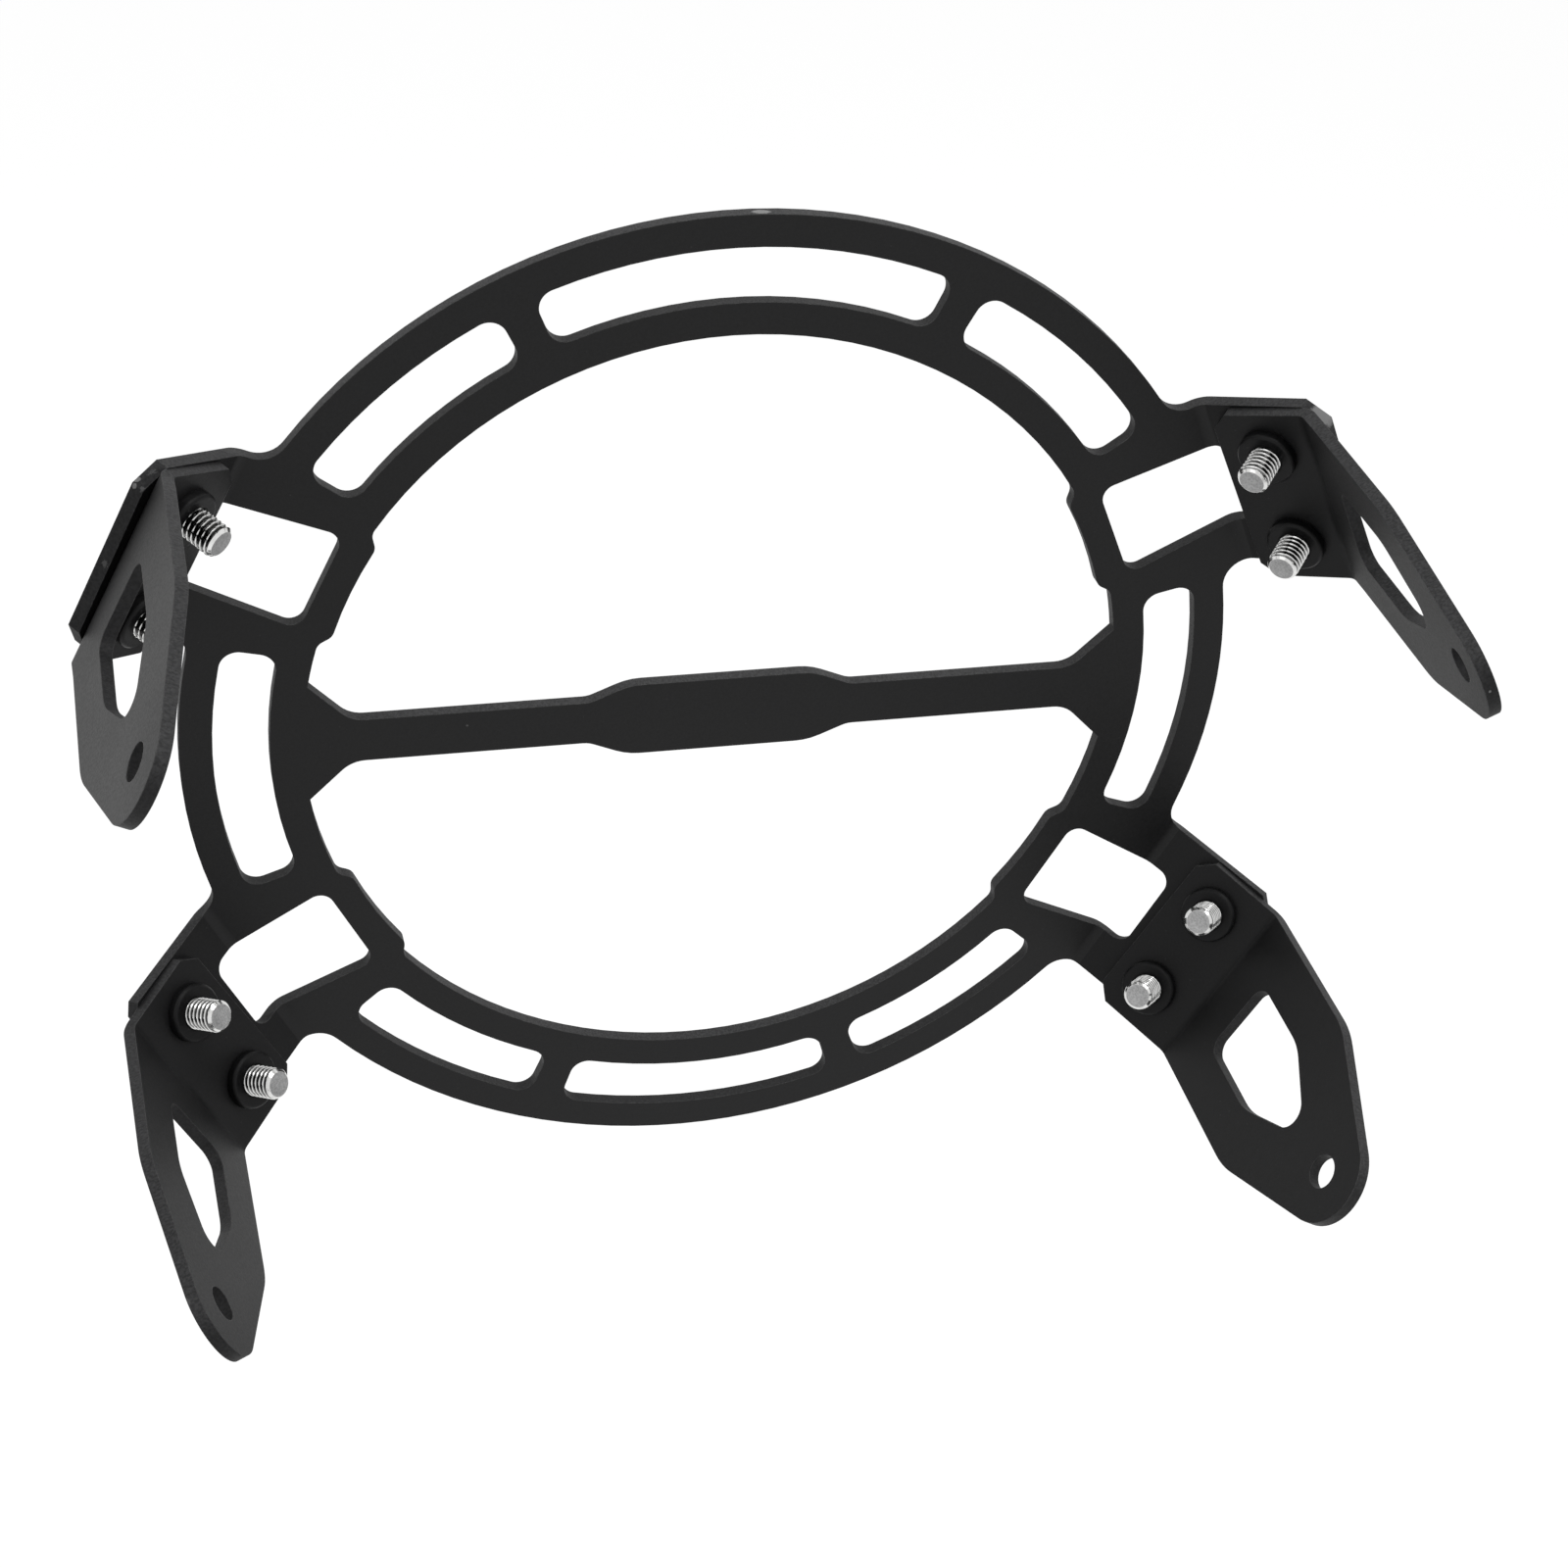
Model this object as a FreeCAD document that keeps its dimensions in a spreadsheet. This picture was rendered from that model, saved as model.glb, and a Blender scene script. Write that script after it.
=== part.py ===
import FreeCAD, Part
import Sketcher
import math
import os
from FreeCAD import Matrix, Placement, Vector

# Motorcycle headlight guard: a laser-cut plate of ring, crossbar and four bent ears, held by
# four bent sheet brackets, each on two button-head screws that run into clinch nuts.
# X is the width, +Z is up, -Y is the road side. The origin is the middle of the pad's front face.

doc = FreeCAD.newDocument("headlight_guard")

# Driving sizes, in millimetres and degrees
SIZES = [
    ("plate_thickness", 2.5),
    ("ring_outer_radius", 100.0),
    ("outer_rim_width", 6.0),
    ("slot_width", 10.2),
    ("inner_rim_width", 6.1),
    ("slot_corner_radius", 3.4),
    ("top_slot_half_angle", 23.5),
    ("bottom_slot_half_angle", 17.4),
    ("spoke_width", 6.3),
    ("slot_to_window", 7.5),
    ("bar_width", 8.8),
    ("pad_width", 15.1),
    ("pad_length", 35.0),
    ("pad_taper", 7.5),
    ("pad_shoulder_radius", 12.0),
    ("pad_foot_radius", 5.0),
    ("gusset_foot_radius", 6.0),
    ("gusset_length", 8.7),
    ("rib_height", 2.2),
    ("rib_half_angle", 7.2),
    ("rib_end_angle", 1.6),
    ("rib_corner_radius", 2.4),
    ("bolt_spacing", 20.4),
    ("bolt_to_bracket_side", 8.8),
    ("ear_inset", 0.7),
    ("ear_bend_angle", 45.0),
    ("ear_bend_radius", 3.0),
    ("ear_root_radius", 5.0),
    ("window_to_inner_rim", 3.4),
    ("window_inner_width", 20.0),
    ("window_outer_width", 17.6),
    ("window_corner_radius", 2.8),
    ("upper_ear_angle", 24.4),
    ("upper_ear_offset", 0.0),
    ("upper_rim_to_bend", 3.75),
    ("upper_window_reach", 3.3),
    ("upper_window_to_bolt", 9.65),
    ("upper_bolt_to_ear_end", 11.55),
    ("upper_ear_chamfer", 4.0),
    ("upper_bracket_offset", -1.1),
    ("upper_bracket_turn", -1.6),
    ("upper_bolt_to_bend", 9.05),
    ("upper_leg_lean", 3.1),
    ("lower_ear_angle", -28.3),
    ("lower_ear_offset", -3.7),
    ("lower_rim_to_bend", 1.75),
    ("lower_window_reach", 5.9),
    ("lower_window_to_bolt", 10.2),
    ("lower_bolt_to_ear_end", 8.4),
    ("lower_ear_chamfer", 2.0),
    ("lower_bracket_offset", -4.9),
    ("lower_bracket_turn", 2.0),
    ("lower_bolt_to_bend", 10.3),
    ("lower_leg_lean", 0.0),
    ("bracket_thickness", 2.3),
    ("bracket_bend_radius", 2.5),
    ("flange_length", 18.5),
    ("flange_chamfer", 3.0),
    ("leg_rail_width", 10.3),
    ("leg_window_start", 10.3),
    ("leg_window_straight", 18.7),
    ("leg_window_taper", 13.0),
    ("leg_window_tip_radius", 3.8),
    ("leg_window_corner_radius", 3.2),
    ("leg_window_shoulder_radius", 12.0),
    ("window_to_leg_shoulder", 6.0),
    ("leg_shoulder_radius", 17.0),
    ("window_to_mount_hole", 14.2),
    ("mount_hole_diameter", 6.5),
    ("leg_tip_radius", 9.9),
    ("screw_diameter", 6.0),
    ("screw_stand_out", 8.2),
    ("screw_tip_chamfer", 0.6),
    ("screw_head_diameter", 10.5),
    ("screw_head_height", 3.3),
    ("screw_head_rim", 0.5),
    ("socket_width", 4.0),
    ("socket_depth", 2.0),
    ("screw_hole_clearance", 0.6),
    ("nut_diameter", 11.0),
    ("nut_height", 2.0),
    ("nut_edge_chamfer", 0.4),
    ("nut_shank_diameter", 8.7),
    ("nut_fit_clearance", 0.1),
]
sheet = doc.addObject("Spreadsheet::Sheet", "Sizes")
for row, (alias, value) in enumerate(SIZES, start=1):
    sheet.set(f"A{row}", alias)
    sheet.set(f"B{row}", str(value))
    sheet.setAlias(f"B{row}", alias)
doc.recompute()


def size(alias):
    """Value of a named cell."""
    return float(sheet.get(alias))


X, Y, Z = Vector(1, 0, 0), Vector(0, 1, 0), Vector(0, 0, 1)


# Frames, sketches and outlines

def frame(origin, x_axis, y_axis):
    """Placement of a sketch or body from its origin and two of its axes."""
    z_axis = x_axis.cross(y_axis)
    turn = Matrix(x_axis.x, y_axis.x, z_axis.x, origin.x,
                  x_axis.y, y_axis.y, z_axis.y, origin.y,
                  x_axis.z, y_axis.z, z_axis.z, origin.z,
                  0, 0, 0, 1)
    return Placement(turn)


def add_body(label, placement=Placement()):
    body = doc.addObject("PartDesign::Body", label)
    body.Label = label
    body.Placement = placement
    return body


def add_sketch(body, name, place, edges, hole_size=None):
    """Closed outlines drawn on the body's own XY plane, moved to the given place.
    The circles among them take their diameter from the named cells."""
    sketch = body.newObject("Sketcher::SketchObject", name)
    plane = next(item for item in body.Origin.OriginFeatures if item.Role == "XY_Plane")
    sketch.AttachmentSupport = [(plane, "")]
    sketch.MapMode = "FlatFace"
    sketch.AttachmentOffset = place
    sketch.addGeometry(edges, False)
    circles = [index for index, edge in enumerate(edges) if isinstance(edge, Part.Circle)]
    for count, index in enumerate(circles):
        sketch.addConstraint(Sketcher.Constraint("Diameter", index, 2 * edges[index].Radius))
        sketch.setExpression(f"Constraints[{count}]", hole_size)
    return sketch


def add_pad(body, name, sketch, length, symmetric=False):
    pad = body.newObject("PartDesign::Pad", name)
    pad.Profile = sketch
    pad.SideType = "Symmetric" if symmetric else "One side"
    pad.setExpression("Length", length)
    return pad


def add_pocket(body, name, sketch, length):
    """Cut both ways from the sketch, so that it goes right through the sheet."""
    pocket = body.newObject("PartDesign::Pocket", name)
    pocket.Profile = sketch
    pocket.SideType = "Symmetric"
    pocket.setExpression("Length", length)
    return pocket


def line(start, end):
    return Part.LineSegment(start, end)


def circle(centre, diameter):
    return Part.Circle(centre, Vector(0, 0, 1), diameter / 2)


def arc(centre, radius, first, last):
    """Arc about a centre from one angle up to the next, in degrees."""
    return Part.ArcOfCircle(circle(centre, 2 * radius), math.radians(first), math.radians(last))


def polar(radius, degrees):
    turn = math.radians(degrees)
    return Vector(radius * math.cos(turn), radius * math.sin(turn), 0)


def rounded(corners, closed=True):
    """Lines through (point, radius) corners, each rounded by a tangent arc."""
    count = len(corners)
    turns = []
    for index, (point, radius) in enumerate(corners):
        if radius == 0:
            turns.append((point, None, point))
            continue
        back = (corners[index - 1][0] - point).normalize()
        ahead = (corners[(index + 1) % count][0] - point).normalize()
        half = back.getAngle(ahead) / 2
        reach = radius / math.tan(half)
        middle = point + (back + ahead).normalize() * (radius / math.sin(half) - radius)
        turns.append((point + back * reach, middle, point + ahead * reach))
    edges = []
    for index, (start, middle, end) in enumerate(turns):
        if middle:
            edges.append(Part.Arc(start, middle, end))
        if closed or index < count - 1:
            edges.append(line(end, turns[(index + 1) % count][0]))
    return edges


def triangle(corner, along, up, leg):
    """Right triangle that takes a chamfer off a corner, with its long side on the chamfer."""
    return rounded([(corner, 0), (corner + along * leg, 0), (corner + up * leg, 0)])


def tongue(half_width, base, base_radius, shoulder, shoulder_radius, tip_distance, tip_radius, lean):
    """Outline with straight sides, rounded shoulders and a taper to a round tip.
    The lean moves a corner sideways by its distance beyond the leg's foot."""
    to_tip = tip_distance - shoulder
    slant = math.atan2(to_tip, half_width) + math.asin(tip_radius / math.hypot(half_width, to_tip))
    apex = shoulder + half_width * math.tan(slant)
    corners = [
        (Vector(-half_width, base, 0), base_radius),
        (Vector(half_width, base, 0), base_radius),
        (Vector(half_width, shoulder, 0), shoulder_radius),
        (Vector(0, apex, 0), tip_radius),
        (Vector(-half_width, shoulder, 0), shoulder_radius)]
    return rounded([(lean(point), radius) for point, radius in corners])


def bent_strip(start, corner, end, thickness, inner_radius):
    """Section of a sheet bent once, whose hollow face runs start, corner, end."""
    back = (start - corner).normalize()
    ahead = (end - corner).normalize()
    outward = (back + ahead).normalize() * -1
    back_step = (outward - back * outward.dot(back)).normalize() * thickness
    ahead_step = (outward - ahead * outward.dot(ahead)).normalize() * thickness
    outer_corner = corner + outward * (thickness / math.sin(back.getAngle(ahead) / 2))
    return rounded([
        (start, 0), (corner, inner_radius), (end, 0),
        (end + ahead_step, 0), (outer_corner, inner_radius + thickness), (start + back_step, 0)])


bend = math.radians(size("ear_bend_angle"))
plate_thickness = size("plate_thickness")
bracket_thickness = size("bracket_thickness")
bracket_width = size("bolt_spacing") + 2 * size("bolt_to_bracket_side")
ear_width = bracket_width - 2 * size("ear_inset")

# The ring from its rim inwards
ring_outer = size("ring_outer_radius")
slot_outer = ring_outer - size("outer_rim_width")
slot_inner = slot_outer - size("slot_width")
slot_middle = (slot_outer + slot_inner) / 2
ring_inner = slot_inner - size("inner_rim_width")


# The four ears, each with the frame of its sloping rear face: x along the bend, y up the slope
class Ear:
    def __init__(self, level, side):
        self.level = level
        self.name = f"{level}_{side}"
        mirror = 1 if side == "left" else -1
        turn = math.radians(size(f"{level}_ear_angle"))
        self.out = Vector(mirror * math.cos(turn), 0, math.sin(turn))
        self.along = self.out.cross(Y)
        self.ear_offset = mirror * size(f"{level}_ear_offset")
        self.bend_distance = ring_outer + size(f"{level}_rim_to_bend")
        self.window_reach = size(f"{level}_window_reach")
        self.bolt_reach = self.window_reach + size(f"{level}_window_to_bolt")
        self.length = self.bolt_reach + size(f"{level}_bolt_to_ear_end")
        self.chamfer = size(f"{level}_ear_chamfer")
        self.root = self.along * self.ear_offset
        up = self.out * math.cos(bend) + Y * math.sin(bend)
        corner = self.root + self.out * self.bend_distance + Y * plate_thickness
        self.slope = frame(corner, self.along, up)
        bracket_shift = mirror * size(f"{level}_bracket_offset") - self.ear_offset
        middle = Vector(bracket_shift, self.bolt_reach, 0)
        turn_about_middle = FreeCAD.Rotation(Z, mirror * size(f"{level}_bracket_turn"))
        self.seat = self.slope.multiply(Placement(middle, turn_about_middle))
        self.bolt_to_bend = size(f"{level}_bolt_to_bend")
        self.leg_lean = mirror * math.tan(math.radians(size(f"{level}_leg_lean")))
        bend_line = Placement(Vector(0, self.bolt_to_bend, bracket_thickness),
                              FreeCAD.Rotation(X, size("ear_bend_angle") * -1))
        self.bracket = self.seat.multiply(bend_line)

    def bolts(self):
        """Names and places on the ear of the two screws, the higher one first."""
        half = size("bolt_spacing") / 2
        ends = sorted((-half, half), key=lambda shift: self.seat.multVec(X * shift).z, reverse=True)
        to_slope = self.slope.inverse().multiply(self.seat)
        return [(name, shift, to_slope.multVec(X * shift)) for name, shift in zip(("top", "bottom"), ends)]

    def bolt_frame(self, shift, depth):
        """Frame on a screw's axis, at a height above the ear's rear face."""
        return self.seat.multiply(Placement(Vector(shift, 0, depth), FreeCAD.Rotation()))


ears = [Ear(level, side) for level in ("upper", "lower") for side in ("left", "right")]


# Guard plate: ring, crossbar with its bare pad, eight slots and four ears in one laser-cut sheet

def ear_middle(level, radius):
    """Angle at which the middle line of a level's ears crosses a circle about the ring's centre."""
    return size(f"{level}_ear_angle") + math.degrees(math.asin(size(f"{level}_ear_offset") / radius))


def slot_outline(low, high):
    """Curved slot between two angles, with rounded corners tangent to its arcs and ends."""
    outer, inner, corner = slot_outer, slot_inner, size("slot_corner_radius")
    edges = []
    for radius, centre_radius, inward in ((outer, outer - corner, 0), (inner, inner + corner, 180)):
        swing = math.degrees(math.asin(corner / centre_radius))
        edges.append(arc(Vector(), radius, low + swing, high - swing))
        low_turn = (low - 90, low + swing) if inward == 0 else (low + swing + 180, low + 270)
        high_turn = (high - swing, high + 90) if inward == 0 else (high + 90, high - swing + 180)
        edges.append(arc(polar(centre_radius, low + swing), corner, *low_turn))
        edges.append(arc(polar(centre_radius, high - swing), corner, *high_turn))
    far = math.sqrt((outer - corner) ** 2 - corner ** 2)
    near = math.sqrt((inner + corner) ** 2 - corner ** 2)
    for angle in (low, high):
        edges.append(line(polar(near, angle), polar(far, angle)))
    return edges


def rib_angles(level):
    """Angles above the crossbar at which the rib behind an ear starts and ends, on the ring
    and on the rib itself, from the lowest up."""
    rise = 1 if level == "upper" else -1
    middle = rise * ear_middle(level, ring_inner)
    half, end = size("rib_half_angle"), size("rib_end_angle")
    return middle - half - end, middle - half, middle + half, middle + half + end


def half_opening(level):
    """Opening above or below the crossbar, with the ribs behind that level's ears."""
    rise = 1 if level == "upper" else -1
    ring, rib = ring_inner, ring_inner - size("rib_height")
    half_bar, half_pad = size("bar_width") / 2, size("pad_width") / 2
    gusset = ring - size("gusset_length")
    climb = (math.sqrt(2 * ring ** 2 - (gusset - half_bar) ** 2) - gusset - half_bar) / 2
    ring_low, rib_low, rib_high, ring_high = rib_angles(level)
    gusset_end = Vector(gusset + climb, half_bar + climb, 0)
    gusset_angle = math.degrees(math.atan2(gusset_end.y, gusset_end.x))
    half_flat = size("pad_length") / 2
    right = [(Vector(half_flat, half_pad, 0), size("pad_shoulder_radius")),
             (Vector(half_flat + size("pad_taper"), half_bar, 0), size("pad_foot_radius")),
             (Vector(gusset, half_bar, 0), size("gusset_foot_radius")),
             (gusset_end, 0)]
    left = [(Vector(-point.x, point.y, 0), radius) for point, radius in reversed(right)]
    edges = rounded(left + right, closed=False)
    edges.append(arc(Vector(), ring, ring_high, 180 - ring_high))
    for mirror in (1, -1):
        def turned(first, last):
            return (first, last) if mirror == 1 else (180 - last, 180 - first)
        edges.append(arc(Vector(), ring, *turned(gusset_angle, ring_low)))
        edges.append(arc(Vector(), rib, *turned(rib_low, rib_high)))
        for ring_end, rib_end in ((ring_low, rib_low), (ring_high, rib_high)):
            start, end = polar(ring, ring_end), polar(rib, rib_end)
            edges.append(line(Vector(mirror * start.x, start.y, 0), Vector(mirror * end.x, end.y, 0)))
    if rise < 0:
        for edge in edges:
            edge.mirror(Vector(), X)
    return edges


BRACKET_WIDTH = "Sizes.bolt_spacing + 2 * Sizes.bolt_to_bracket_side"
EAR_WIDTH = BRACKET_WIDTH + " - 2 * Sizes.ear_inset"
plate = add_body("guard_plate")
front = frame(Vector(), X * -1, Z)
ring_edges = [circle(Vector(), 2 * size("ring_outer_radius"))]
ring_edges += half_opening("upper") + half_opening("lower")
top_slot_end = 90 - size("top_slot_half_angle")
bottom_slot_end = size("bottom_slot_half_angle") - 90
spoke = math.degrees(2 * math.asin(size("spoke_width") / 2 / slot_middle))
beside_ear = math.degrees(math.asin((size("window_inner_width") / 2 + size("slot_to_window")) / slot_middle))
upper_middle, lower_middle = ear_middle("upper", slot_middle), ear_middle("lower", slot_middle)
ring_edges += slot_outline(top_slot_end, 180 - top_slot_end)
ring_edges += slot_outline(-180 - bottom_slot_end, bottom_slot_end)
for low, high in ((upper_middle + beside_ear, top_slot_end - spoke),
                  (lower_middle + beside_ear, upper_middle - beside_ear),
                  (bottom_slot_end + spoke, lower_middle - beside_ear)):
    ring_edges += slot_outline(low, high)
    ring_edges += slot_outline(180 - high, 180 - low)
ring_sketch = add_sketch(plate, "ring_outline", front, ring_edges, "2 * Sizes.ring_outer_radius")
add_pad(plate, "ring", ring_sketch, "Sizes.plate_thickness")

for ear in ears:
    half_width = ear_width / 2
    start = Vector(slot_outer, plate_thickness, 0)
    corner = Vector(ear.bend_distance, plate_thickness, 0)
    end = corner + Vector(math.cos(bend), math.sin(bend), 0) * ear.length
    section = bent_strip(start, corner, end, plate_thickness, size("ear_bend_radius"))
    section_sketch = add_sketch(plate, f"{ear.name}_ear_section", frame(ear.root, ear.out, Y), section)
    add_pad(plate, f"{ear.name}_ear", section_sketch, EAR_WIDTH, symmetric=True)

    # Window, first where it runs through the flat ring and then up the slope
    inner_half, outer_half = size("window_inner_width") / 2, size("window_outer_width") / 2
    radius = size("window_corner_radius")
    window_start = ring_inner + size("window_to_inner_rim")
    flat_window = rounded([
        (Vector(window_start, -inner_half, 0), radius),
        (Vector(ear.bend_distance, -outer_half, 0), 0),
        (Vector(ear.bend_distance, outer_half, 0), 0),
        (Vector(window_start, inner_half, 0), radius)])
    flat_frame = frame(ear.root + Y * plate_thickness, ear.out, ear.along)
    flat_sketch = add_sketch(plate, f"{ear.name}_window_root", flat_frame, flat_window)
    add_pocket(plate, f"{ear.name}_window_flat", flat_sketch, "4 * Sizes.plate_thickness")
    overlap = 1.6 * plate_thickness
    cuts = rounded([
        (Vector(-outer_half, -overlap, 0), 0),
        (Vector(outer_half, -overlap, 0), 0),
        (Vector(outer_half, ear.window_reach, 0), radius),
        (Vector(-outer_half, ear.window_reach, 0), radius)])
    for side in (1, -1):
        cuts += triangle(Vector(side * half_width, ear.length, 0), X * -side, Y * -1, ear.chamfer)
    for _, _, place in ear.bolts():
        cuts.append(circle(place, size("screw_diameter") + size("screw_hole_clearance")))
    cut_sketch = add_sketch(plate, f"{ear.name}_ear_cuts", ear.slope, cuts,
                            "Sizes.screw_diameter + Sizes.screw_hole_clearance")
    add_pocket(plate, f"{ear.name}_ear_openings", cut_sketch, "3 * Sizes.plate_thickness")


# Brackets: a flange that lies on the ear, a bend, and a leg with a window and a mounting hole

def make_bracket(ear):
    body = add_body(f"{ear.name}_bracket", ear.bracket)
    half_width = bracket_width / 2
    flange = size("flange_length")
    slope = Vector(math.cos(bend), math.sin(bend), 0)
    root = Vector(0, size("leg_window_start") / 2, 0)
    section = bent_strip(root, Vector(), slope * -flange, bracket_thickness, size("bracket_bend_radius"))
    section_sketch = add_sketch(body, "bend_section", frame(Vector(), Y, Z), section)
    add_pad(body, "flange_and_bend", section_sketch, BRACKET_WIDTH, symmetric=True)

    window_start = size("leg_window_start")
    window_shoulder = window_start + size("leg_window_straight")
    window_end = window_shoulder + size("leg_window_taper")
    hole = Vector(0, window_end + size("window_to_mount_hole"), 0)

    def lean(point):
        return point + X * (ear.leg_lean * (point.y - root.y))

    leg = tongue(half_width, root.y, 0, window_shoulder + size("window_to_leg_shoulder"),
                 size("leg_shoulder_radius"), hole.y, size("leg_tip_radius"), lean)
    leg += tongue(half_width - size("leg_rail_width"), window_start, size("leg_window_corner_radius"),
                  window_shoulder, size("leg_window_shoulder_radius"),
                  window_end - size("leg_window_tip_radius"), size("leg_window_tip_radius"), lean)
    leg.append(circle(lean(hole), size("mount_hole_diameter")))
    leg_sketch = add_sketch(body, "leg_outline", frame(Vector(), X * -1, Z), leg,
                            "Sizes.mount_hole_diameter")
    add_pad(body, "leg", leg_sketch, "Sizes.bracket_thickness")

    cuts = []
    for side in (1, -1):
        cuts += triangle(Vector(side * half_width, -flange, 0), X * -side, Y, size("flange_chamfer"))
        seat = size("nut_shank_diameter") + size("nut_fit_clearance")
        cuts.append(circle(Vector(side * size("bolt_spacing") / 2, -ear.bolt_to_bend, 0), seat))
    up = Y * math.cos(bend) + Z * math.sin(bend)
    cut_sketch = add_sketch(body, "flange_cuts", frame(Vector(), X, up), cuts,
                            "Sizes.nut_shank_diameter + Sizes.nut_fit_clearance")
    add_pocket(body, "flange_openings", cut_sketch, "3 * Sizes.bracket_thickness")
    return body


# Screws: button heads with a hexagon socket on the road side, threaded ends towards the rear

def revolve(body, name, outline):
    sketch = add_sketch(body, f"{name}_section", frame(Vector(), X, Z), outline)
    turned = body.newObject("PartDesign::Revolution", name)
    turned.Profile = sketch
    turned.ReferenceAxis = (sketch, ["V_Axis"])
    turned.Angle = 360
    return turned


def make_screw(label, placement):
    body = add_body(label, placement)
    shank, head = size("screw_diameter") / 2, size("screw_head_diameter") / 2
    height, rim = size("screw_head_height"), size("screw_head_rim")
    length = plate_thickness + bracket_thickness + size("screw_stand_out")
    chamfer = size("screw_tip_chamfer")
    dome_height = height - rim
    dome_radius = (head ** 2 + dome_height ** 2) / (2 * dome_height)
    half_turn = math.asin(head / dome_radius) / 2
    dome_middle = Vector(dome_radius * math.sin(half_turn),
                         dome_radius * (1 - math.cos(half_turn)) - height, 0)
    top, edge = Vector(0, -height, 0), Vector(head, -rim, 0)
    outline = [Part.Arc(top, dome_middle, edge)]
    outline += rounded([(edge, 0), (Vector(head, 0, 0), 0), (Vector(shank, 0, 0), 0),
                        (Vector(shank, length - chamfer, 0), 0),
                        (Vector(shank - chamfer, length, 0), 0),
                        (Vector(0, length, 0), 0), (top, 0)], closed=False)
    revolve(body, "screw", outline)
    socket_corner = size("socket_width") / math.sqrt(3)
    hexagon = rounded([(polar(socket_corner, 60 * step), 0) for step in range(6)])
    socket = add_sketch(body, "socket_outline", frame(Z * -height, X, Y), hexagon)
    add_pocket(body, "socket", socket, "2 * Sizes.socket_depth")
    return body


# Clinch nuts: a low round body on the flange and a shank pressed into its hole

def make_nut(label, placement):
    body = add_body(label, placement)
    bore = (size("screw_diameter") + size("nut_fit_clearance")) / 2
    shank, outer = size("nut_shank_diameter") / 2, size("nut_diameter") / 2
    height, chamfer = size("nut_height"), size("nut_edge_chamfer")
    outline = rounded([(Vector(bore, -bracket_thickness, 0), 0), (Vector(shank, -bracket_thickness, 0), 0),
                       (Vector(shank, 0, 0), 0), (Vector(outer, 0, 0), 0),
                       (Vector(outer, height - chamfer, 0), 0), (Vector(outer - chamfer, height, 0), 0),
                       (Vector(bore, height, 0), 0)])
    revolve(body, "nut", outline)
    return body


pieces = [plate]
for ear in ears:
    pieces.append(make_bracket(ear))
    for end, shift, _ in ear.bolts():
        pieces.append(make_screw(f"{ear.name}_{end}_screw", ear.bolt_frame(shift, -plate_thickness)))
        pieces.append(make_nut(f"{ear.name}_{end}_clinch_nut", ear.bolt_frame(shift, bracket_thickness)))
doc.recompute()


# Rounded corners of the plate: the ears' roots on the ring's rim, and the ribs' ends

def edges_through(shape, places):
    """Names of the short edges through the sheet at these places of its middle plane."""
    names = []
    for index, edge in enumerate(shape.Edges, start=1):
        if any((edge.CenterOfMass - place).Length < plate_thickness / 4 for place in places):
            names.append(f"Edge{index}")
    return names


def round_corners(name, places, radius):
    base = plate.Tip
    fillet = plate.newObject("PartDesign::Fillet", name)
    fillet.Base = (base, edges_through(base.Shape, places))
    fillet.setExpression("Radius", radius)
    doc.recompute()


middle_plane = Y * (plate_thickness / 2)
ear_roots = []
for ear in ears:
    for side in (1, -1):
        across = ear.ear_offset + side * ear_width / 2
        foot = ear.along * across + ear.out * math.sqrt(ring_outer ** 2 - across ** 2)
        ear_roots.append(foot + middle_plane)
rib_ends = []
for level, rise in (("upper", 1), ("lower", -1)):
    ring_low, rib_low, rib_high, ring_high = rib_angles(level)
    for radius, angles in ((ring_inner, (ring_low, ring_high)),
                           (ring_inner - size("rib_height"), (rib_low, rib_high))):
        for angle in angles:
            end = polar(radius, angle)
            rib_ends += [Vector(mirror * end.x, 0, rise * end.y) + middle_plane for mirror in (1, -1)]
round_corners("ear_roots", ear_roots, "Sizes.ear_root_radius")
round_corners("rib_ends", rib_ends, "Sizes.rib_corner_radius")

for item in doc.Objects:
    if "Invalid" in item.State or "Error" in item.State:
        raise RuntimeError(f"{item.Label} failed")
for piece in pieces:
    if piece.Shape.isNull() or not piece.Shape.isValid() or len(piece.Shape.Solids) != 1:
        raise RuntimeError(f"{piece.Label} is not one good solid")

os.makedirs("parts", exist_ok=True)
for piece in pieces:
    piece.Shape.exportStep(f"parts/{piece.Label}.step")
    print(piece.Label, round(piece.Shape.Volume, 1), "mm3")
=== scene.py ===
"""Motorcycle headlight guard: a black powder-coated plate on four bent brackets.
Everything is in metres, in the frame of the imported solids."""

import bpy
import numpy as np
from mathutils import Matrix, Vector


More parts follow.
